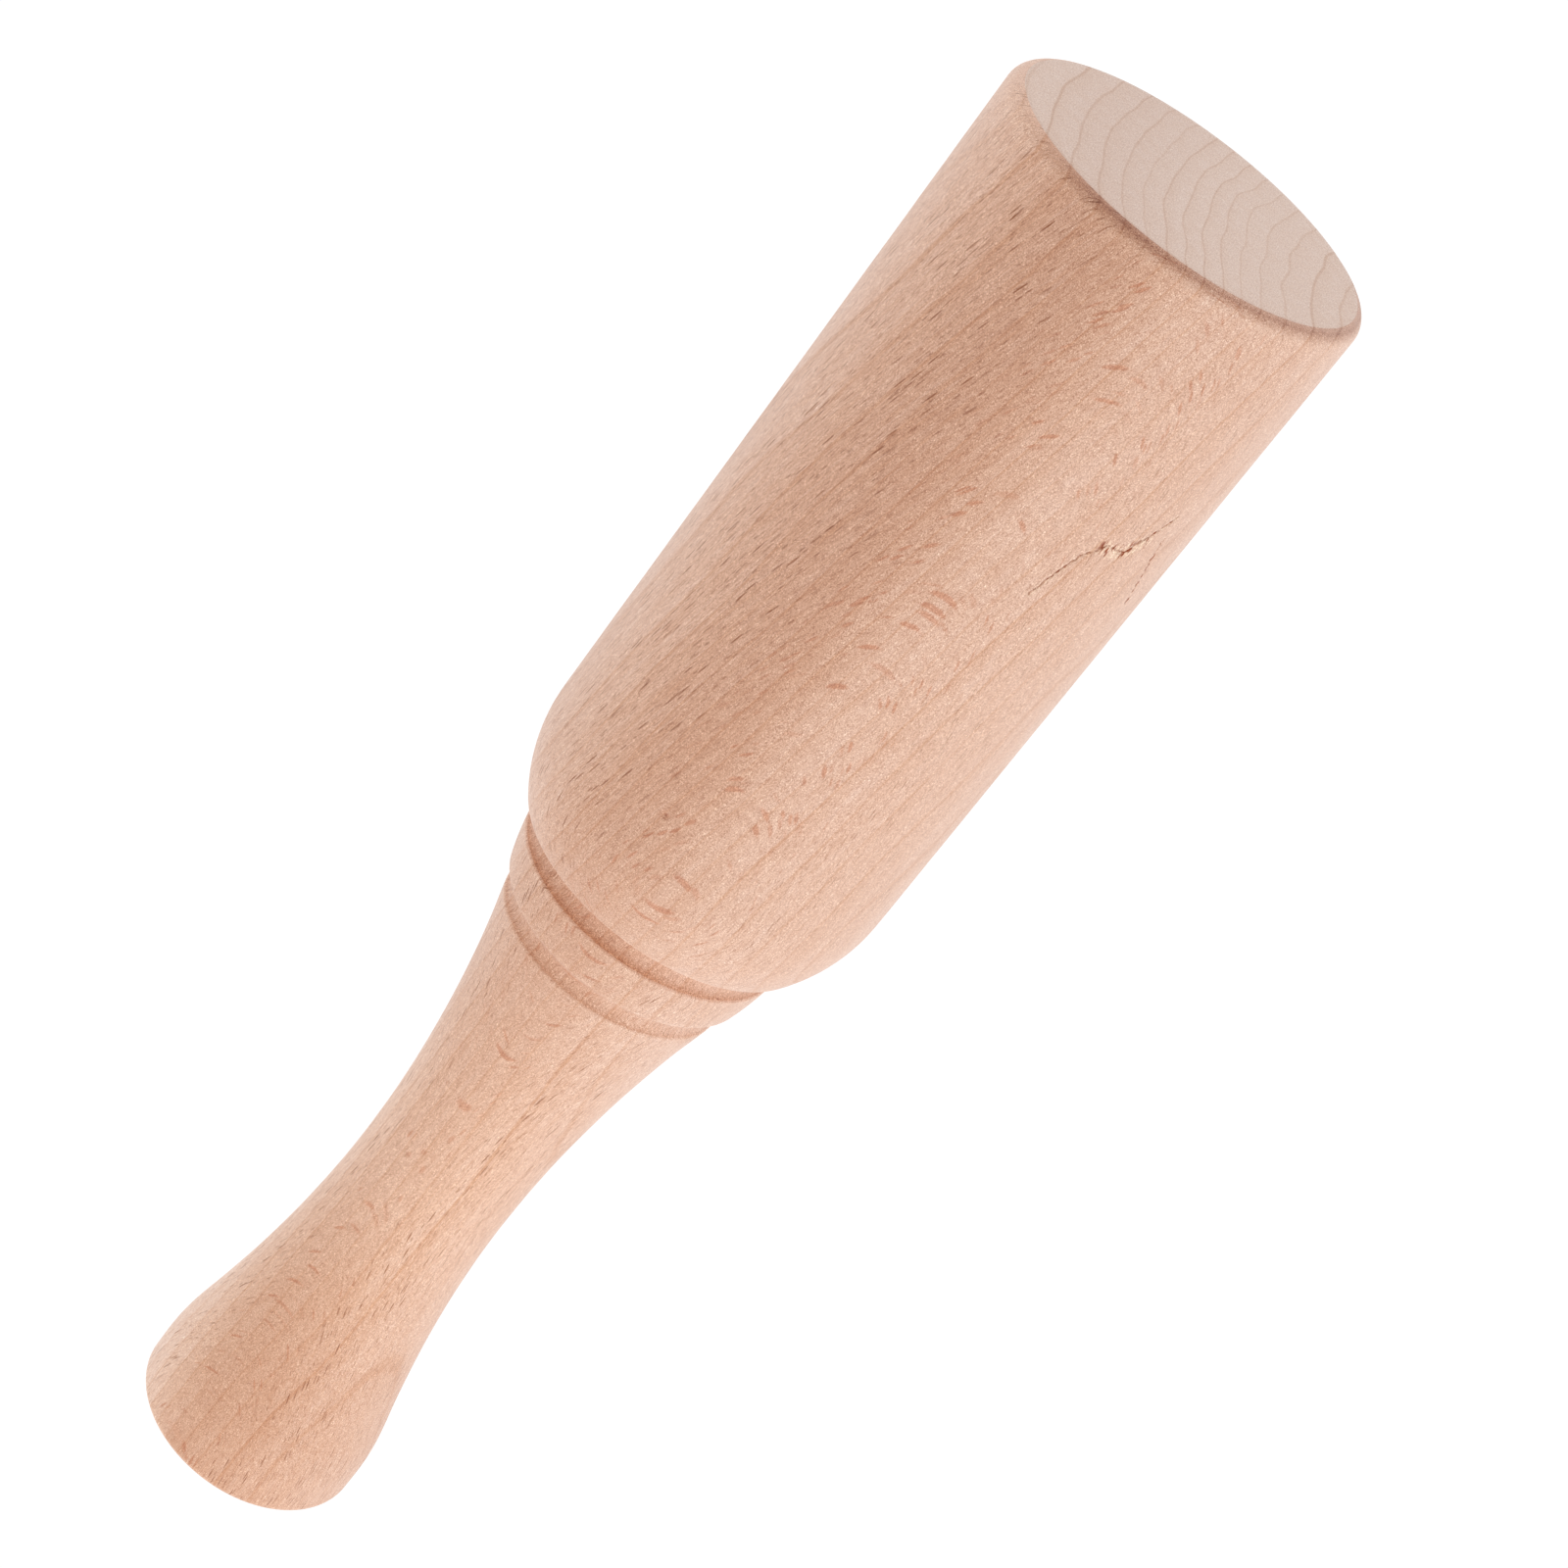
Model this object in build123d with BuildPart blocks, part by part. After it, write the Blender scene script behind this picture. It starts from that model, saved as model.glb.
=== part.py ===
from build123d import *
import os

# Turned beech muddler: a drum-shaped crushing head with a rounded shoulder, a bead between
# two coved grooves, and a waisted handle that swells out to a flat butt.
# The whole object is cut on a lathe from one blank, so it is one solid with no joint in it.
# Millimetres. The origin is the centre of the flat striking face, and +Z runs up the turning
# axis to the butt, so the muddler stands on its striking face.
# A point of the outline is (radius, height).

# Head
head_radius = 30.0
face_radius = 28.1  # flat striking face, inside the rounded rim
face_rim_height = 2.4
barrel_top = 120.0  # the straight barrel ends and the shoulder starts
shoulder_rim = (25.75, 135.1)  # where the shoulder breaks into the first groove

# Neck: both grooves are plunged with the same round-nosed tool, and leave a bead between them
cove_radius = 3.1
bead_foot = (23.15, 140.4)
bead_middle = (22.5, 144.2)
bead_top = (21.6, 147.8)
rim_round = 0.3  # sanding softens the four edges of the grooves

# Handle
handle_foot = (19.85, 152.5)
handle_foot_slope = (-0.235, 1.0)
handle_taper = (15.87, 174.0)
handle_waist = (13.6, 205.5)
handle_flare = (16.12, 240.0)
handle_swell = (18.74, 255.0)
butt_radius = 20.2
butt_swell_height = 267.0  # the handle is widest from here up
overall_length = 271.5
butt_round = 1.2

with BuildPart() as turned_body:
    with BuildSketch(Plane.XZ) as half_section:
        with BuildLine():
            Line((0, 0), (face_radius, 0))
            TangentArc((head_radius, face_rim_height), (face_radius, 0), tangent=(0, -1))
            Line((head_radius, face_rim_height), (head_radius, barrel_top))
            TangentArc((head_radius, barrel_top), shoulder_rim, tangent=(0, 1))
            RadiusArc(shoulder_rim, bead_foot, cove_radius)
            ThreePointArc(bead_foot, bead_middle, bead_top)
            RadiusArc(bead_top, handle_foot, cove_radius)
            Spline(
                handle_foot,
                handle_taper,
                handle_waist,
                handle_flare,
                handle_swell,
                (butt_radius, butt_swell_height),
                tangents=[handle_foot_slope, (0, 1)],
            )
            Line((butt_radius, butt_swell_height), (butt_radius, overall_length))
            Line((butt_radius, overall_length), (0, overall_length))
            Line((0, overall_length), (0, 0))
        make_face()
        corners = half_section.vertices()
        groove_rims = [
            corners.sort_by_distance(point)[0]
            for point in (shoulder_rim, bead_foot, bead_top, handle_foot)
        ]
        fillet(groove_rims, radius=rim_round)
        butt_corner = half_section.vertices().sort_by_distance((butt_radius, overall_length))[0]
        fillet(butt_corner, radius=butt_round)
    revolve(axis=Axis.Z)

turned_body.part.label = "turned_body"

os.makedirs("parts", exist_ok=True)
export_step(turned_body.part, "parts/turned_body.step")
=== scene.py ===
import math
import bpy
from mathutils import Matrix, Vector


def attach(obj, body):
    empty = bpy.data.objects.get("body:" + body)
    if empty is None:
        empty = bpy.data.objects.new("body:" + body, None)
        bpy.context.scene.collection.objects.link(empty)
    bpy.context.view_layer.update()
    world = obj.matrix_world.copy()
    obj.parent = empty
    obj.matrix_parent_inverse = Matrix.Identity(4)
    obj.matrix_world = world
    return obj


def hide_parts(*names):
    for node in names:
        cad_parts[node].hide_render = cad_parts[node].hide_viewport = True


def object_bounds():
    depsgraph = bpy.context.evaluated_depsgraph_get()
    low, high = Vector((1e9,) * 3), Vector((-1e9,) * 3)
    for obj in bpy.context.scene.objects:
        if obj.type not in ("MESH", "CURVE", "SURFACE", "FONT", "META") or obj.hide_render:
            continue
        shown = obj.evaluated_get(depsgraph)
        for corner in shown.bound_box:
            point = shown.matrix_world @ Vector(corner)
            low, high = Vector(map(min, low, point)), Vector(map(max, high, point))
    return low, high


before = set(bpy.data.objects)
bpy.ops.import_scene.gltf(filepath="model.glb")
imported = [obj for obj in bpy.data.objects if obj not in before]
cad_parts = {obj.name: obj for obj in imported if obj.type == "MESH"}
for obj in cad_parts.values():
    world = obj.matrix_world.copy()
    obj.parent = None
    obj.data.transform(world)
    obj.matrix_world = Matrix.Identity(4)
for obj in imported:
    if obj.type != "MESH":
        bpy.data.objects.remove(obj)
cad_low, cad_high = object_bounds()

from types import SimpleNamespace
from typing import NamedTuple

import bmesh
import bpy
import numpy as np
from mathutils import Quaternion, Vector, noise

# A beech muddler turned from one blank. The CAD node gives the outline; this script adds what a
# lathe, sandpaper and the wood itself leave on it: turning lines, torn grain and a crack.
# Heights run from the striking face at 0 up to the butt, and angles are measured round the axis
# from the -Y side, towards -X. Lengths inside the wood material are in millimetres.

NODE = "turned_body"
MM = 0.001

# Mesh
COLUMNS = 240  # faces round the axis; four times the faces along one side of an end disc
DISC_SIDE = COLUMNS // 4
FINEST_ROW = 0.16 * MM
WIDEST_ROW = 1.15 * MM
ROW_TURN = 0.075  # most that the outline turns from one row to the next, in radians
FINE_STEP = 0.05 * MM  # between the points that the outline's bend is measured at
BEND_SPREAD = 31  # how many of those points a bend is spread over


# ---------------------------------------------------------------- the outline, from the CAD node

def cad_outline():
    """The (height, radius) points of the CAD node's outline, from the rim of one face to the other."""
    corners = np.array([vertex.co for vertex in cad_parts[NODE].data.vertices])
    outline = np.stack([corners[:, 2], np.hypot(corners[:, 0], corners[:, 1])], axis=1)
    rest = np.unique(outline[outline[:, 1] > MM].round(6), axis=0)
    lowest = rest[:, 0] < rest[:, 0].min() + 0.01 * MM
    here = rest[lowest][rest[lowest][:, 1].argmax()]
    ordered = []
    while len(rest):
        nearest = np.hypot(*(rest - here).T).argmin()
        here = rest[nearest]
        ordered.append(here)
        rest = np.delete(rest, nearest, axis=0)
    return np.array(ordered)


def curve_slopes(steps, slopes):
    """Slopes at the points of a curve that never overshoots them (the harmonic mean of its sides)."""
    before, after = slopes[:-1], slopes[1:]
    weight_before = (2 * steps[1:] + steps[:-1])[:, None]
    weight_after = (steps[1:] + 2 * steps[:-1])[:, None]
    with np.errstate(divide="ignore", invalid="ignore"):
        mean = (weight_before + weight_after) / (weight_before / before + weight_after / after)
    inner = np.where(before * after > 0, mean, 0)
    return np.vstack([slopes[:1], inner, slopes[-1:]])


def along_curve(points, places):
    """Points at the given distances along a smooth curve through the points."""
    steps = np.hypot(*np.diff(points, axis=0).T)
    distance = np.concatenate([[0], np.cumsum(steps)])
    slopes = np.diff(points, axis=0) / steps[:, None]
    tangents = curve_slopes(steps, slopes)
    span = np.clip(np.searchsorted(distance, places, side="right") - 1, 0, len(steps) - 1)
    width = steps[span][:, None]
    t = (places - distance[span])[:, None] / width
    start, end = points[span], points[span + 1]
    out, into = tangents[span] * width, tangents[span + 1] * width
    return ((2 * t**3 - 3 * t**2 + 1) * start + (t**3 - 2 * t**2 + t) * out
            + (3 * t**2 - 2 * t**3) * end + (t**3 - t**2) * into)


def outline_rows():
    """The outline as mesh rows, which lie closer together where it bends."""
    points = cad_outline()
    length = np.hypot(*np.diff(points, axis=0).T).sum()
    places = np.linspace(0, length, int(length / FINE_STEP))
    fine = along_curve(points, places)
    heading = np.unwrap(np.arctan2(*np.gradient(fine, axis=0).T))
    bend = np.abs(np.gradient(heading, places))
    spread = np.hanning(BEND_SPREAD)
    bend = np.convolve(bend, spread / spread.sum(), mode="same")
    spacing = np.clip(ROW_TURN / np.maximum(bend, 1e-6), FINEST_ROW, WIDEST_ROW)
    rows_so_far = np.concatenate([[0], np.cumsum(np.diff(places) / spacing[1:])])
    count = int(math.ceil(rows_so_far[-1]))
    chosen = np.interp(np.linspace(0, rows_so_far[-1], count), rows_so_far, places)
    return along_curve(points, chosen)


# ---------------------------------------------------------------- the mesh

def ring(radius, height):
    turn = np.arange(COLUMNS) / COLUMNS * math.tau
    return [(-radius * math.sin(a), -radius * math.cos(a), height) for a in turn]


def add_disc(bm, radius, height, faces_up):
    """A flat disc of quads, a square grid with its rim drawn out to a circle."""
    middle = DISC_SIDE / 2
    grid = {}
    for row in range(DISC_SIDE + 1):
        for column in range(DISC_SIDE + 1):
            x, y = (column - middle) / middle, (row - middle) / middle
            reach = max(abs(x), abs(y))
            if reach == 0:
                place = (0, 0, height)
            elif abs(x) >= abs(y):
                turn = math.pi / 4 * y / x
                sign = math.copysign(reach, x)
                place = (sign * radius * math.cos(turn), sign * radius * math.sin(turn), height)
            else:
                turn = math.pi / 4 * x / y
                sign = math.copysign(reach, y)
                place = (sign * radius * math.sin(turn), sign * radius * math.cos(turn), height)
            grid[row, column] = bm.verts.new(place)
    for row in range(DISC_SIDE):
        for column in range(DISC_SIDE):
            corners = [grid[row, column], grid[row, column + 1],
                       grid[row + 1, column + 1], grid[row + 1, column]]
            bm.faces.new(corners if faces_up else corners[::-1])


def turned_mesh():
    """The turned surface, with its two end faces."""
    rows = outline_rows()
    bm = bmesh.new()
    rings = [[bm.verts.new(place) for place in ring(radius, height)] for height, radius in rows]
    for lower, upper in zip(rings, rings[1:]):
        for column in range(COLUMNS):
            following = (column + 1) % COLUMNS
            bm.faces.new((lower[following], lower[column], upper[column], upper[following]))
    add_disc(bm, rows[0][1], rows[0][0], faces_up=False)
    add_disc(bm, rows[-1][1], rows[-1][0], faces_up=True)
    bmesh.ops.remove_doubles(bm, verts=bm.verts, dist=0.001 * MM)
    bmesh.ops.recalc_face_normals(bm, faces=bm.faces)
    return bm


# ---------------------------------------------------------------- what the tools left

# Points of the crack in the barrel, as (degrees round the axis, height in mm)
CRACK = [(32, 51.5), (34.5, 47), (37.5, 43), (43, 40.2), (49, 40.5), (53, 38), (56, 35.5), (59, 33)]
HAIRLINE = [(60.5, 37), (62.5, 41), (64.5, 44), (68, 49.5)]
CHIPPED = [(42.5, 40.5), (46, 41), (50, 40), (53.5, 38)]  # the stretch with chips torn out of it
CRACK_HEIGHT = 42  # about the middle of the crack
CRACK_REACH = 20  # how far above and below that the crack's marks are worked out
BARREL_RADIUS = 30.0
BARREL_SPAN = (20, 115)  # heights between which the barrel is straight and may have flaws
FLAW_CUTS = 4  # how often a mesh edge beside a flaw is cut
CRACK_MARGIN, HAIRLINE_MARGIN, CHIP_MARGIN, PIT_MARGIN = 1.9, 1.2, 2.8, 0.8  # cut finer up to here
CRACK_FAR = 2.5  # distances from the crack are kept up to this
CRACK_DEPTH, HAIRLINE_DEPTH, CHIP_DEPTH = 0.40, 0.25, 0.55
CRACK_HALF_WIDTH, HAIRLINE_HALF_WIDTH = 0.20, 0.16
CHIP_REACH = 1.5
PIT = (-10.5, 111.8)  # a small pit near the top of the barrel, as (degrees, height in mm)
PIT_RADIUS = 0.9
TOOL_LINES = ((0.12, 0.035), (0.36, 0.05), (0.8, 0.02))  # round the face's rim, as (height, depth) in mm
TOOL_LINE_WIDTH = 0.07
SANDING_DEPTH = 0.05  # most that hand sanding took off unevenly, in millimetres
SANDING_SPAN = 11 * MM
HOLLOW_BEND = 0.15  # bend of a fully burnished hollow, in radians to a millimetre
EDGE_BEND = 0.6  # the same for a sharp edge
AT_END = 0.005 * MM  # a corner closer than this to an end face's plane lies in it


def unrolled(places):
    """Places on the barrel as (way round, height) in millimetres on its unrolled surface."""
    angle = np.arctan2(-places[:, 0], -places[:, 1])
    return np.stack([angle * BARREL_RADIUS, places[:, 2] / MM], axis=1)


def unrolled_path(points):
    return np.array([(math.radians(angle) * BARREL_RADIUS, height) for angle, height in points])


def distance_to(path, places):
    """Distance from each place to the nearest point of a path of straight pieces."""
    nearest = np.full(len(places), np.inf)
    for start, end in zip(path, path[1:]):
        along = end - start
        share = np.clip((places - start) @ along / (along @ along), 0, 1)
        gap = places - (start + share[:, None] * along)
        nearest = np.minimum(nearest, np.hypot(*gap.T))
    return nearest


def rough(places, scale, seed):
    """Smooth noise between -1 and 1 at unrolled places; scale is its size (round, along)."""
    return np.array([noise.noise((u / scale[0], h / scale[1], seed)) for u, h in places])


def refine_flaws(bm):
    """Cuts the mesh finer round the crack and the pit, and puts the new corners back on the barrel."""
    bm.faces.ensure_lookup_table()
    middles = np.array([face.calc_center_median() for face in bm.faces])
    flat = unrolled(middles)
    low, high = BARREL_SPAN
    on_barrel = (middles[:, 2] > low * MM) & (middles[:, 2] < high * MM)
    close = distance_to_pit(flat) < PIT_RADIUS + PIT_MARGIN
    for path, margin in ((CRACK, CRACK_MARGIN), (HAIRLINE, HAIRLINE_MARGIN), (CHIPPED, CHIP_MARGIN)):
        close |= distance_to(unrolled_path(path), flat) < margin
    chosen = [bm.faces[i] for i in np.nonzero(close & on_barrel)[0]]
    edges = list({edge for face in chosen for edge in face.edges})
    bmesh.ops.subdivide_edges(bm, edges=edges, cuts=FLAW_CUTS, use_grid_fill=True)
    for vertex in bm.verts:
        if low * MM < vertex.co.z < high * MM:
            stretch = BARREL_RADIUS * MM / math.hypot(vertex.co.x, vertex.co.y)
            vertex.co.x *= stretch
            vertex.co.y *= stretch


def crack_distances(places):
    """Distance of each place from the crack, the hairline and the chipped stretch, in millimetres."""
    flat = unrolled(places)
    ragged = flat.copy()
    ragged[:, 0] += 0.30 * rough(flat, (0.9, 0.8), 3.1)
    ragged[:, 1] += 0.45 * rough(flat, (0.5, 1.0), 7.7)
    near_height = np.abs(flat[:, 1] - CRACK_HEIGHT) < CRACK_REACH
    on_side = near_height & (places[:, 0] < 0) & (places[:, 1] < 0)
    return [np.where(on_side, np.minimum(distance_to(unrolled_path(path), ragged), CRACK_FAR), CRACK_FAR)
            for path in (CRACK, HAIRLINE, CHIPPED)]


def crack_depth(places, distances):
    """How deep the crack and its chips go at places on the barrel, in millimetres."""
    flat = unrolled(places)
    to_crack, to_hairline, to_chips = distances
    width = CRACK_HALF_WIDTH * (1 + 0.5 * rough(flat, (2.0, 2.0), 1.3))
    split = CRACK_DEPTH * np.clip(1 - to_crack / width, 0, 1)
    width = HAIRLINE_HALF_WIDTH * (1 + 0.5 * rough(flat, (1.0, 1.5), 9.3))
    hairline = HAIRLINE_DEPTH * np.clip(1 - to_hairline / width, 0, 1)
    open_stretches = np.clip(rough(flat, (0.55, 2.2), 4.9) + 0.15, 0, 1)
    hairline *= np.clip(open_stretches * 4, 0, 1)
    torn = np.clip(1.25 - to_chips / CHIP_REACH, 0, 1)
    chips = CHIP_DEPTH * torn * np.clip(rough(flat, (0.33, 0.95), 5.5) - 0.02, 0, 1)
    return np.maximum(np.maximum(split, hairline), chips)


def turning_lines(heights):
    """Depth of the fine lines that the lathe tool left round the rim of the face, in millimetres."""
    depth = np.zeros(len(heights))
    for height, deep in TOOL_LINES:
        depth += deep * np.exp(-((heights - height) / TOOL_LINE_WIDTH) ** 2)
    return depth


def distance_to_pit(flat):
    return np.hypot(*(flat - unrolled_path([PIT])[0]).T)


def pit_depth(places):
    """Depth of the small pit where a bit of grain has come out, deeper towards its upper side."""
    flat = unrolled(places)
    bowl = np.clip(1 - distance_to_pit(flat) / PIT_RADIUS, 0, 1)
    upper = np.clip((flat[:, 1] - PIT[1]) / PIT_RADIUS, -1, 1)
    return bowl * (0.48 + 0.40 * upper)


def store(bm, name, values):
    """Keeps one number for each corner of the mesh under a name that the material reads."""
    layer = bm.verts.layers.float.new(name)
    for vertex, value in zip(bm.verts, values):
        vertex[layer] = value


def work_surface(bm):
    """Sinks the crack, the turning lines and the hand sanding's unevenness into the surface."""
    bm.normal_update()
    bm.verts.ensure_lookup_table()
    places = np.array([vertex.co for vertex in bm.verts])
    uneven = np.array([0.5 + 0.5 * noise.noise(vertex.co / SANDING_SPAN) for vertex in bm.verts])
    depth = SANDING_DEPTH * uneven + turning_lines(places[:, 2] / MM)
    distances = crack_distances(places)
    cracked = np.zeros(len(places))
    beside = np.minimum.reduce(distances) < CRACK_FAR
    cracked[beside] = crack_depth(places[beside], [gap[beside] for gap in distances])
    cracked += pit_depth(places)
    depth += cracked
    flat_end = (places[:, 2] < AT_END) | (places[:, 2] > cad_high.z - AT_END)
    depth[flat_end] = 0
    for vertex, sink in zip(bm.verts, depth):
        vertex.co -= vertex.normal * (sink * MM)
    store(bm, "torn", cracked)
    for name, gap in zip(("crack", "hairline", "chipped"), distances):
        store(bm, name, gap)


def mark_edges(bm):
    """Gives each corner how burnished a hollow it lies in and how sharp an edge it lies on."""
    rows = outline_rows()
    heading = np.unwrap(np.arctan2(*np.gradient(rows, axis=0).T[::-1]))
    along = np.concatenate([[0], np.cumsum(np.hypot(*np.diff(rows, axis=0).T))])
    bend = np.gradient(heading, along) * MM
    apart = 1e-9 * np.arange(len(rows))  # keeps rows at the same height from dividing by nothing
    slope = np.gradient(rows[:, 1], rows[:, 0] + apart)
    hollow = np.clip(bend / HOLLOW_BEND, 0, 1)
    burnish = hollow * (0.25 + 0.75 * np.clip((slope - 0.25) / 0.5, 0, 1))
    sharp = np.clip(-bend / EDGE_BEND, 0, 1)
    heights = [vertex.co.z for vertex in bm.verts]
    store(bm, "burnish", np.interp(heights, rows[:, 0], burnish))
    # the material paints a highlight on these sharp edges
    store(bm, "edge", np.interp(heights, rows[:, 0], sharp))


# ---------------------------------------------------------------- material nodes, written as sums

class Signal:
    """One output of a material node. Arithmetic on it adds the nodes that work it out."""

    def __init__(self, socket):
        self.socket = socket
        self.tree = socket.id_data

    def __add__(self, other):
        return calc("ADD", self, other)

    def __sub__(self, other):
        return calc("SUBTRACT", self, other)

    def __mul__(self, other):
        return calc("MULTIPLY", self, other)

    def __truediv__(self, other):
        return calc("DIVIDE", self, other)


def add_node(tree, kind, inputs, **settings):
    """Adds a node, sets it up, and joins a signal or writes a value to each input that is named."""
    node = tree.nodes.new(kind)
    for name, value in settings.items():
        setattr(node, name, value)
    for name, value in inputs.items():
        if isinstance(value, Signal):
            tree.links.new(value.socket, node.inputs[name])
        else:
            node.inputs[name].default_value = value
    return node


def calc(operation, *values):
    tree = next(value.tree for value in values if isinstance(value, Signal))
    node = add_node(tree, "ShaderNodeMath", dict(enumerate(values)), operation=operation)
    return Signal(node.outputs[0])


def rise(value, start, end):
    """0 up to start, then smoothly up to 1 at end. With start above end it falls from 1 to 0."""
    inputs = {"Value": value, "From Min": start, "From Max": end}
    node = add_node(value.tree, "ShaderNodeMapRange", inputs, interpolation_type="SMOOTHSTEP")
    return Signal(node.outputs[0])


def hump(value, middle, half_width):
    """1 at the middle, falling smoothly to 0 at half_width on either side."""
    return rise(calc("ABSOLUTE", value - middle), half_width, 0)


class Grain(NamedTuple):
    """One kind of mark in the wood, with its sizes in millimetres."""

    width: float  # away from the pith
    length: float  # along the fibres
    seed: float  # moves the pattern, so that no two kinds of mark repeat each other
    round_width: float = 0.0  # round the pith; the same as width where it is 0
    detail: float = 1.0
    roughness: float = 0.5


def lengthwise(place, grain):
    """Noise coordinates in which one mark of the grain is one unit long in every direction."""
    out, tangent, height = place
    round_width = grain.round_width or grain.width
    inputs = {"X": out / grain.width + grain.seed,
              "Y": tangent / round_width,
              "Z": height / grain.length}
    return Signal(add_node(out.tree, "ShaderNodeCombineXYZ", inputs).outputs[0])


def soft_noise(place, grain):
    """Noise about 0, mostly between -0.25 and 0.25."""
    vector = lengthwise(place, grain)
    inputs = {"Vector": vector, "Scale": 1.0, "Detail": grain.detail, "Roughness": grain.roughness}
    return Signal(add_node(vector.tree, "ShaderNodeTexNoise", inputs).outputs[0]) - 0.5


def scattered(place, grain, size, chance, ragged=0.0):
    """Marks at random places, one to a unit of the grain: 1 inside a mark, 0 between them.

    A mark fades in between the two distances in size. It shows more the further its own random
    number lies between the two in chance. Ragged is added to the distance, to break up its edge.
    """
    vector = lengthwise(place, grain)
    cells = add_node(vector.tree, "ShaderNodeTexVoronoi", {"Vector": vector, "Scale": 1.0})
    inputs = {"Color": Signal(cells.outputs["Color"])}
    channels = add_node(vector.tree, "ShaderNodeSeparateColor", inputs)
    gap = Signal(cells.outputs["Distance"]) + ragged
    return rise(gap, *size) * rise(Signal(channels.outputs[0]), *chance)


def stored(tree, name):
    """A number kept on the mesh's corners."""
    return Signal(add_node(tree, "ShaderNodeAttribute", {}, attribute_name=name).outputs["Fac"])


def random_for(whole):
    """A random number from 0 to 1 for each whole number."""
    inputs = {"W": whole}
    node = add_node(whole.tree, "ShaderNodeTexWhiteNoise", inputs, noise_dimensions="1D")
    return Signal(node.outputs["Value"])


def mixed(amount, first, second, how="MIX"):
    """Two colours mixed: only the first where amount is 0, only the second where it is 1."""
    tree = next(value.tree for value in (amount, first, second) if isinstance(value, Signal))
    node = add_node(tree, "ShaderNodeMix", {0: amount}, data_type="RGBA", blend_type=how)
    for slot, colour in ((6, first), (7, second)):
        if isinstance(colour, Signal):
            tree.links.new(colour.socket, node.inputs[slot])
        else:
            node.inputs[slot].default_value = colour
    return Signal(node.outputs[2])


def paint(red, green, blue):
    """A colour given as on a screen, 0 to 255, in the linear form that materials take."""
    def linear(part):
        part /= 255
        return part / 12.92 if part < 0.04045 else ((part + 0.055) / 1.055) ** 2.4
    return (linear(red), linear(green), linear(blue), 1.0)


# ---------------------------------------------------------------- the wood

SIDE_GRAIN = paint(231, 189, 165)
END_GRAIN = paint(219, 189, 172)
RAY_FLECK = paint(212, 148, 116)  # a ray seen from its side
RAY_END_WITH_SHADE = paint(150, 80, 12)  # a ray or a vessel cut across: the ray's own colour, darkened further with painted shade of its open end
BURNISHED = paint(206, 142, 102)  # rubbed dark by the tool, in the grooves
TORN_WOOD = paint(255, 222, 194)
CRACK_BOTTOM = paint(158, 70, 8)

# The tree's centre line, the pith, which leans as it climbs beside the muddler
PITH_X, PITH_X_DRIFT = -112.1, 0.102
PITH_Y, PITH_Y_DRIFT = 7.8, -0.254
GRAIN_OUT, GRAIN_ROUND = 0.065, 0.364  # how the fibres drift outward and round as they climb
REFERENCE_RADIUS = 112.0

# Growth rings, which come closer together and wider apart by turns
RINGS_PER_MM = 0.272
RING_PHASE = 0.3
RING_SWING = 0.476
RING_SWING_START, RING_SWING_LENGTH = 111, 46

# The dark heartwood, as a band that lies this far out from the pith and leans as it climbs
HEART_OUT = 125.6
HEART_LEAN = 0.14
HEART_HALF_WIDTH = 17.0

# Slow changes in the wood
DRIFT = Grain(width=16, length=45, seed=0)
WANDER = Grain(width=9, length=30, seed=40)
COARSE = Grain(width=2.2, length=60, seed=7, detail=3, roughness=0.6)
STREAK = Grain(width=0.5, length=16, seed=13, detail=2, roughness=0.6)
MOTTLE = Grain(width=3.5, length=6.0, seed=9)

# Fibres and vessels
THREAD = Grain(width=0.20, length=9, seed=51)
HAIR = Grain(width=0.15, length=1.6, seed=23)
RIPPLE = Grain(width=5.0, length=2.5, seed=31, round_width=0.16)
FUZZ = Grain(width=0.13, length=0.16, seed=3, detail=0)
PORE = Grain(width=0.2, length=1.0, seed=61, round_width=0.65)
GLINT = Grain(width=0.26, length=0.36, seed=5)  # a lifted fibre end, which catches the light: a painted highlight, made as lighter colour in the wood

# Rays: thin upright blades that reach out from the pith, dark where the surface cuts them, partly by
# their own colour and partly by painted shade in their open ends
DASH = Grain(width=4, length=6.5, seed=3, round_width=0.34)
SPECK = Grain(width=1.6, length=2.6, seed=17, round_width=0.28)
FLECK = Grain(width=9, length=3.6, seed=11, round_width=0.24)

# Along the crack
WOBBLE = Grain(width=0.5, length=0.9, seed=70)
SLOT = Grain(width=0.42, length=1.9, seed=80)
BREAK = Grain(width=1.5, length=1.2, seed=90, detail=0)


def grain_place(x, y, z):
    """A point's place in the tree: (way out from the pith, way round it, (x, y) from the pith), in mm."""
    from_pith_x = x - (z * PITH_X_DRIFT + PITH_X)
    from_pith_y = y - (z * PITH_Y_DRIFT + PITH_Y)
    out = calc("SQRT", from_pith_x * from_pith_x + from_pith_y * from_pith_y)
    tangent = calc("ARCTAN2", from_pith_y, from_pith_x) * REFERENCE_RADIUS - z * GRAIN_ROUND
    return out, tangent, (from_pith_x, from_pith_y)


def growth_rings(out):
    """(thin dark line at each ring's end, slow darkening towards it, ring's own random number)."""
    swing = calc("SINE", (out - RING_SWING_START) * (math.tau / RING_SWING_LENGTH)) * RING_SWING
    count = out * RINGS_PER_MM + swing + RING_PHASE
    age = calc("FRACT", count)
    line = rise(calc("ABSOLUTE", age - 0.5), 0.43, 0.49)
    late = rise(age, 0.3, 1.0) * rise(age, 1.0, 0.97)
    strength = random_for(calc("FLOOR", count + 0.5))
    return line, late, strength


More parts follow.
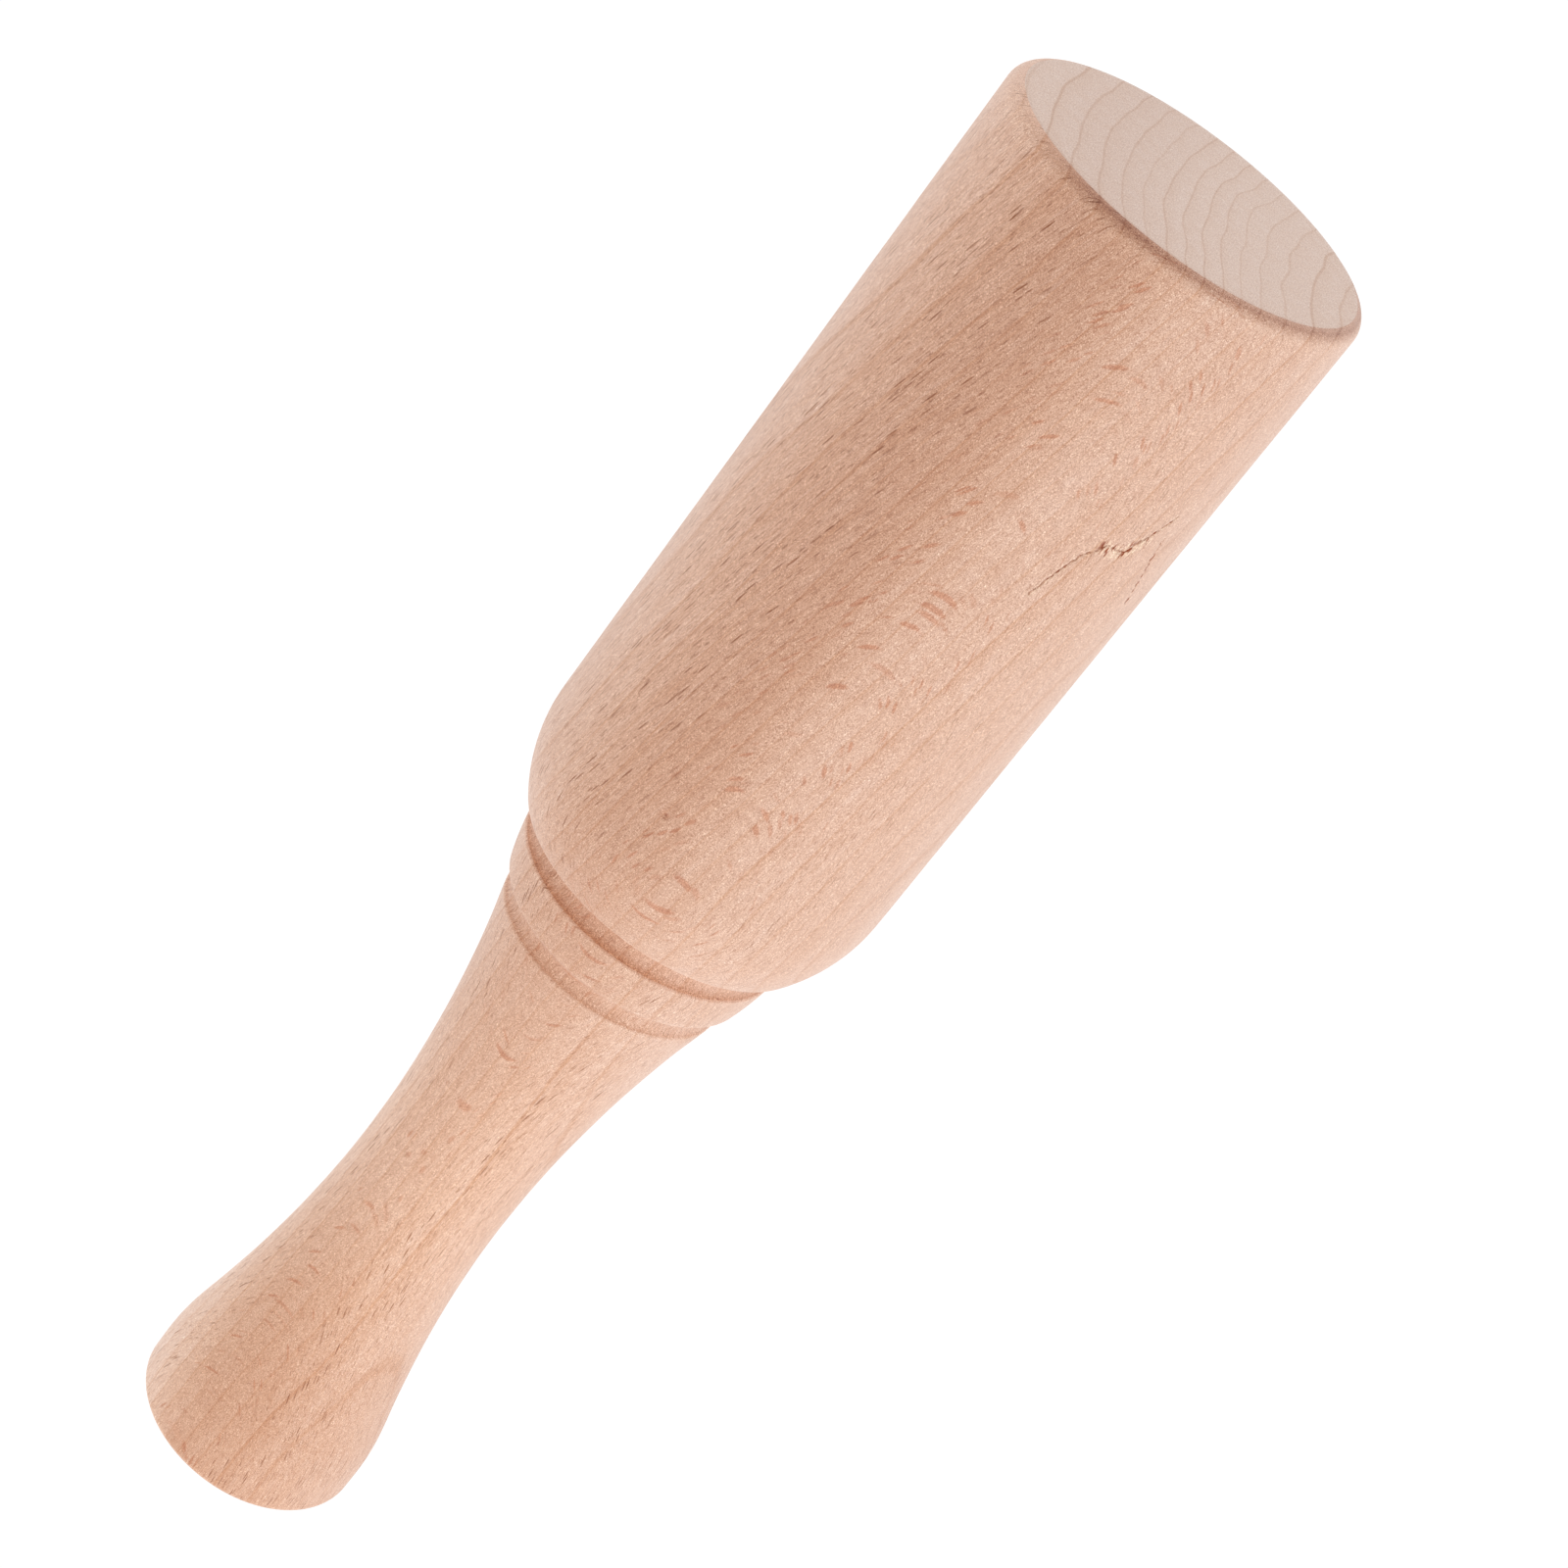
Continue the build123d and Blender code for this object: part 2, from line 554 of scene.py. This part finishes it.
def crack_marks(place, crack, hairline, chipped):
    """(light torn wood, dark openings) along the crack, from the distances kept on the mesh."""
    wobble = soft_noise(place, WOBBLE)
    slots = soft_noise(place, SLOT)
    breaks = soft_noise(place, BREAK)
    stretch = rise(chipped, 1.7, 0.7)
    opening = rise(crack + wobble * 0.35, 0.23, 0.10) * (rise(breaks, -0.12, 0.12) * 0.5 + 0.5)
    slit = rise(hairline + slots * 0.5, 0.20, 0.09) * rise(breaks, -0.10, 0.02)
    slot = stretch * rise(slots, 0.08, 0.13)
    splinters = stretch * rise(slots, 0.02, -0.08)
    lips = rise(crack + wobble * 0.8, 0.50, 0.15) * 0.6
    return calc("MAXIMUM", splinters, lips), calc("MAXIMUM", calc("MAXIMUM", opening, slit), slot)


def wood_at(place):
    """The parts of the wood's pattern at a place (x, y, z) in millimetres, and its painted glints, each a
    signal of its own.
    """
    x, y, z = place
    out, tangent, from_pith = grain_place(x, y, z)
    wood = SimpleNamespace(place=place)

    wood.end_grain = calc("MAXIMUM", rise(z, 0.03, 0.0), rise(z, cad_high.z / MM - 0.03, cad_high.z / MM))
    wood.side_grain = wood.end_grain * -1 + 1

    # how squarely the surface shows the rays: 1 where it lies along them, 0 where it cuts them
    radius = calc("SQRT", x * x + y * y)
    quarter = calc("ABSOLUTE", (y * from_pith[0] - x * from_pith[1]) / (radius * out + 0.01))
    shown = calc("MAXIMUM", rise(x, -26, -2), rise(z, 120, 150)) * 0.6 + 0.4  # less beside the crack
    wood.cut = rise(quarter, 1.0, 0.84) * shown

    drift = soft_noise((out, tangent, z), DRIFT)
    wander = soft_noise((out, tangent, z), WANDER)
    fibre = (out - z * GRAIN_OUT, tangent + wander * 0.7, z)
    wood.ring_line, wood.late, wood.ring_strength = growth_rings(out + drift * 3)

    core = out + z * HEART_LEAN + drift * 4 - rise(z, 190, 240) * 8
    wood.heart = hump(core, HEART_OUT, HEART_HALF_WIDTH) * rise(z, 240, 20)
    wood.ruddy = rise(calc("ABSOLUTE", core - HEART_OUT), 20, 4) * (rise(z, 200, 245) * 0.05 + 0.065)

    for name, grain in (("coarse", COARSE), ("streak", STREAK), ("thread", THREAD),
                        ("hair", HAIR), ("ripple", RIPPLE)):
        setattr(wood, name, soft_noise(fibre, grain))
    for name, grain in (("mottle", MOTTLE), ("fuzz", FUZZ), ("pores", PORE)):
        setattr(wood, name, soft_noise(place, grain))

    wood.glint = scattered(place, GLINT, size=(0.42, 0.28), chance=(0.60, 0.95))
    wood.dash = scattered(fibre, DASH, size=(0.27, 0.15), chance=(0.15, 0.85)) * wood.side_grain
    wood.speck = scattered(fibre, SPECK, size=(0.30, 0.18), chance=(0.25, 0.90)) * wood.side_grain
    flecks = scattered(fibre, FLECK, size=(0.38, 0.20), chance=(0.20, 0.85), ragged=wood.hair * 0.3)
    wood.fleck = flecks * wood.side_grain * rise(quarter, 0.88, 0.97)
    # fine fibre texture of the wood, with the painted glints of lifted fibres added in
    wood.grit = (wood.hair * (wood.cut * 0.12 + 0.40) + wood.fuzz * (wood.cut * -0.10 + 0.90)
                 + wood.ripple * 0.14 + wood.glint * 0.30 - 0.02)
    return wood


def growth_light(wood):
    """How light the wood grew, about 1: lower in late wood, in ring lines and in the ruddy band."""
    streaks = wood.coarse * 0.11 + wood.streak * 0.11 + wood.thread * wood.cut * 0.19
    late = wood.late * (wood.ring_strength * 0.03 + 0.01)
    line = wood.ring_line * (wood.ring_strength * 0.07 + 0.04)
    return streaks - late - line - wood.ruddy * wood.side_grain + 1.0


def surface_light(wood):
    """How light the surface is, about 1: heart, pores, fine fibre texture and the marks of turning, with
    painted light on the handle and painted highlights on sharp edges and lifted fibres.
    """
    x, y, z = wood.place
    heart = wood.heart * (wood.side_grain * 0.6 + 0.4) * 0.12
    end_lines = wood.ring_line * wood.end_grain * (wood.ring_strength * 0.05 + 0.02)
    # painted light: the upper handle is made lighter in colour towards +x, where more light falls on it
    painted_side_light = rise(z, 165, 205) * rise(x, 6, 18) * 0.14
    # painted light: the handle is made lighter in colour than the head, most round x = -3 mm, for the
    # brighter light on it
    handle = hump(z, 200, 60) * (hump(x, -3, 12) * 0.07 + 0.05)
    light = wood.mottle * 0.02 - heart - end_lines + wood.pores * wood.end_grain * 0.5 + 1.0
    light = light + painted_side_light + handle
    light = light + wood.grit * (wood.side_grain * 0.5 + 0.5)
    # the darker rim band is the wood's own burnish at the face's rim; its fading out towards +x is
    # painted light, for the light that side catches
    rim = rise(z + wood.streak * 0.8, 1.7, 0.25) * wood.side_grain * (rise(x, 24, 4) * 0.9 + 0.1)
    light = light - rim * (wood.hair * 0.3 + wood.thread * 0.5 + wood.ring_line * 0.10 + 0.28)
    light = light - rim * hump(z, 0.4, 0.35) * 0.08
    light = light + wood.burnish * (wood.hair * 0.8 + wood.streak * 0.6)
    # painted highlight: sharp convex edges are made lighter in colour
    return light + wood.edge * 0.06


def wood_colour(wood):
    """The wood's colours with some painted light and shade in them, shaded so that darker wood is redder:
    its green and blue fade faster.
    """
    x, y, z = wood.place
    growth = growth_light(wood)
    surface = surface_light(wood)
    inputs = {"Red": surface * growth,
              "Green": calc("POWER", surface, 1.5) * calc("POWER", growth, 2.1),
              "Blue": calc("POWER", surface, 1.75) * calc("POWER", growth, 3.2)}
    shade = Signal(add_node(growth.tree, "ShaderNodeCombineColor", inputs).outputs[0])
    colour = mixed(wood.end_grain, SIDE_GRAIN, END_GRAIN)
    colour = mixed(wood.fleck * 0.75, colour, RAY_FLECK)
    # the cut ends of rays: their own colour, with painted shade of the open ends
    ray_ends_with_shade = wood.dash * (wood.cut * 0.68 + 0.08) + wood.speck * (wood.cut * 0.45 + 0.06)
    colour = mixed(ray_ends_with_shade, colour, RAY_END_WITH_SHADE)
    # the grooves' burnish is real, but it is mixed in less towards -x: painted light, for the light that
    # falls on that side of the grooves
    colour = mixed(wood.burnish * (rise(x, -22, 6) * 0.25 + 0.58), colour, BURNISHED)
    lips, dark = crack_marks(wood.place, wood.crack, wood.hairline, wood.chipped)
    colour = mixed(lips * 0.9, colour, TORN_WOOD)
    colour = mixed(calc("MAXIMUM", dark, rise(wood.torn, 0.25, 0.5) * 0.7), colour, CRACK_BOTTOM)
    return mixed(1.0, colour, shade, how="MULTIPLY")


def beech():
    """Turned and sanded beech: fibres, growth rings, rays, and the marks of turning, with some painted
    light and shade in its colour.
    """
    material = bpy.data.materials.new("turned_beech")
    material.use_nodes = True
    tree = material.node_tree
    tree.nodes.clear()
    metres = Signal(add_node(tree, "ShaderNodeTexCoord", {}).outputs["Object"])
    split = add_node(tree, "ShaderNodeSeparateXYZ", {0: metres})
    wood = wood_at([Signal(output) / MM for output in split.outputs])
    for name in ("torn", "crack", "hairline", "chipped", "burnish", "edge"):
        setattr(wood, name, stored(tree, name))

    height = (wood.hair * 0.03 + wood.fuzz * 0.03 + wood.ripple * 0.02
              - wood.dash * 0.03 - wood.speck * 0.02)
    inputs = {"Height": height, "Distance": MM, "Strength": 0.6}
    bump = Signal(add_node(tree, "ShaderNodeBump", inputs).outputs["Normal"])
    inputs = {"Base Color": wood_colour(wood),
              "Roughness": wood.grit * 0.3 - wood.burnish * 0.1 + 0.62,
              "Normal": bump,
              "Sheen Weight": 0.3,
              "Sheen Roughness": 0.5,
              "Specular IOR Level": 0.4}
    surface = Signal(add_node(tree, "ShaderNodeBsdfPrincipled", inputs).outputs["BSDF"])
    add_node(tree, "ShaderNodeOutputMaterial", {"Surface": surface})
    return material


# ---------------------------------------------------------------- the studio

CAMERA_PLACE = Vector((0, -0.50034, -0.15177))  # below the face's plane, looking up at the barrel
CAMERA_AIM = Vector((-0.00561, 0, 0.11152))
CAMERA_ROLL = math.radians(-142.09)
CAMERA_LENS = 85.859
TENT_OPENING = Vector((0.26, -0.88, -0.45))  # the way from the muddler to the tent's opening
OPENING_LIGHT, TENT_LIGHT = 0.69, 1.05
BACKDROP_WHITE = 1.05
SOFTBOX_PLACE = Vector((-0.14, -0.34, 0.34))
SOFTBOX_SIDE = 0.3
SOFTBOX_WATTS = 0.36
FLOOR_REACH = 4.0
FLOOR_GAP = 0.2 * MM  # between the striking face and the floor


def add_camera():
    data = bpy.data.cameras.new("camera")
    data.lens = CAMERA_LENS
    data.clip_start = 0.01
    camera = bpy.data.objects.new("camera", data)
    camera.location = CAMERA_PLACE
    camera.rotation_mode = "QUATERNION"
    upright = (CAMERA_AIM - CAMERA_PLACE).to_track_quat("-Z", "Y")
    camera.rotation_quaternion = upright @ Quaternion((0, 0, 1), CAMERA_ROLL)
    bpy.context.scene.collection.objects.link(camera)
    bpy.context.scene.camera = camera


def add_world():
    """A white room that is dimmer towards one side, as a light tent is round its opening."""
    world = bpy.data.worlds.new("studio")
    world.use_nodes = True
    tree = world.node_tree
    tree.nodes.clear()
    towards = Signal(add_node(tree, "ShaderNodeTexCoord", {}).outputs["Generated"])
    inputs = {0: towards, 1: TENT_OPENING.normalized()}
    product = add_node(tree, "ShaderNodeVectorMath", inputs, operation="DOT_PRODUCT")
    facing = Signal(product.outputs["Value"])
    light = rise(facing, 1.0, -0.1) * (TENT_LIGHT - OPENING_LIGHT) + OPENING_LIGHT
    seen = Signal(add_node(tree, "ShaderNodeLightPath", {}).outputs["Is Camera Ray"])
    strength = calc("MAXIMUM", light * (seen * -1 + 1), seen * BACKDROP_WHITE)
    inputs = {"Color": (1, 1, 1, 1), "Strength": strength}
    background = Signal(add_node(tree, "ShaderNodeBackground", inputs).outputs[0])
    add_node(tree, "ShaderNodeOutputWorld", {"Surface": background})
    bpy.context.scene.world = world


def add_softbox():
    """A large soft light beside the handle, so that the handle is the brighter end."""
    data = bpy.data.lights.new("softbox", "AREA")
    data.size = SOFTBOX_SIDE
    data.energy = SOFTBOX_WATTS
    softbox = bpy.data.objects.new("softbox", data)
    softbox.location = SOFTBOX_PLACE
    softbox.visible_camera = False
    aim = Vector((0, 0, cad_high.z * 0.8)) - softbox.location
    softbox.rotation_mode = "QUATERNION"
    softbox.rotation_quaternion = aim.to_track_quat("-Z", "Y")
    bpy.context.scene.collection.objects.link(softbox)


def pale_floor():
    """Matt pale grey that fades to white away from the muddler, and is clear from below."""
    material = bpy.data.materials.new("pale_floor")
    material.use_nodes = True
    tree = material.node_tree
    tree.nodes.clear()
    under = Signal(add_node(tree, "ShaderNodeNewGeometry", {}).outputs["Backfacing"])
    place = Signal(add_node(tree, "ShaderNodeTexCoord", {}).outputs["Object"])
    length = add_node(tree, "ShaderNodeVectorMath", {0: place}, operation="LENGTH")
    away = rise(Signal(length.outputs["Value"]), 0.15, 1.2)
    matt = Signal(add_node(tree, "ShaderNodeBsdfDiffuse", {"Color": (0.82, 0.82, 0.82, 1)}).outputs[0])
    inputs = {"Color": (1, 1, 1, 1), "Strength": BACKDROP_WHITE}
    white = Signal(add_node(tree, "ShaderNodeEmission", inputs).outputs[0])
    clear = Signal(add_node(tree, "ShaderNodeBsdfTransparent", {}).outputs[0])
    above = Signal(add_node(tree, "ShaderNodeMixShader", {0: away, 1: matt, 2: white}).outputs[0])
    surface = Signal(add_node(tree, "ShaderNodeMixShader", {0: under, 1: above, 2: clear}).outputs[0])
    add_node(tree, "ShaderNodeOutputMaterial", {"Surface": surface})
    return material


def add_floor():
    """A pale floor, which only the camera sees: the light comes from all round the muddler."""
    level = cad_low.z - FLOOR_GAP
    around = [(-1, -1), (1, -1), (1, 1), (-1, 1)]
    corners = [(x * FLOOR_REACH, y * FLOOR_REACH, level) for x, y in around]
    mesh = bpy.data.meshes.new("floor")
    mesh.from_pydata(corners, [], [(0, 1, 2, 3)])
    mesh.materials.append(pale_floor())
    floor = bpy.data.objects.new("floor", mesh)
    floor.visible_diffuse = False
    floor.visible_glossy = False
    floor.visible_transmission = False
    floor.visible_shadow = False
    bpy.context.scene.collection.objects.link(floor)


# ---------------------------------------------------------------- the muddler

def add_muddler():
    """The whole muddler: one piece of wood in place of the CAD node."""
    bm = turned_mesh()
    mark_edges(bm)
    refine_flaws(bm)
    work_surface(bm)
    mesh = bpy.data.meshes.new("turned_beech_body")
    bm.to_mesh(mesh)
    bm.free()
    mesh.shade_smooth()
    mesh.materials.append(beech())
    muddler = bpy.data.objects.new("turned_beech_body", mesh)
    bpy.context.scene.collection.objects.link(muddler)
    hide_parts(NODE)
    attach(muddler, "root")


add_muddler()
add_floor()
add_world()
add_softbox()
add_camera()
bpy.context.scene.view_settings.view_transform = "Standard"
